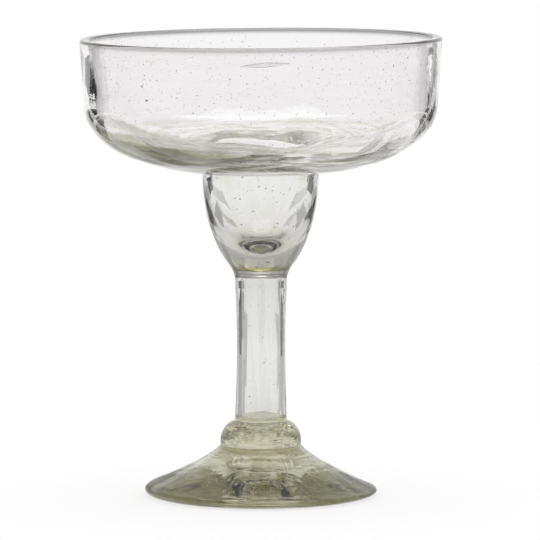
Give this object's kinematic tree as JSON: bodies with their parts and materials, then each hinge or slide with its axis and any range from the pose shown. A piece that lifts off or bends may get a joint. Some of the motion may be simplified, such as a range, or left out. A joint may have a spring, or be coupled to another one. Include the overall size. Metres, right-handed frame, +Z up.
{
  "type": "margarita glass",
  "caption": "Stemmed margarita glass in thick blown glass: a wide bowl steps down to a small cup on a hollow stem, a bead-shaped knop and a cone-shaped foot.",
  "frame": {"origin": "on the table, under the middle of the foot", "axes": "+Z up along the axis that the glass is turned about; +X to the right and +Y away from the viewer, as in the picture"},
  "size_m": [0.134, 0.134, 0.1701],
  "materials": {
    "bowl_glass": "clear blown glass with fine air seeds",
    "cup_glass": "thicker clear blown glass with a faint olive cast",
    "stem_glass": "clear blown glass over an air bore",
    "foot_glass": "thick clear glass with an olive cast"
  },
  "bodies": {
    "root": {"upper_bowl": "bowl_glass", "lower_bowl": "cup_glass", "stem": "stem_glass", "knop": "foot_glass", "foot": "foot_glass"}
  },
  "joints": []
}
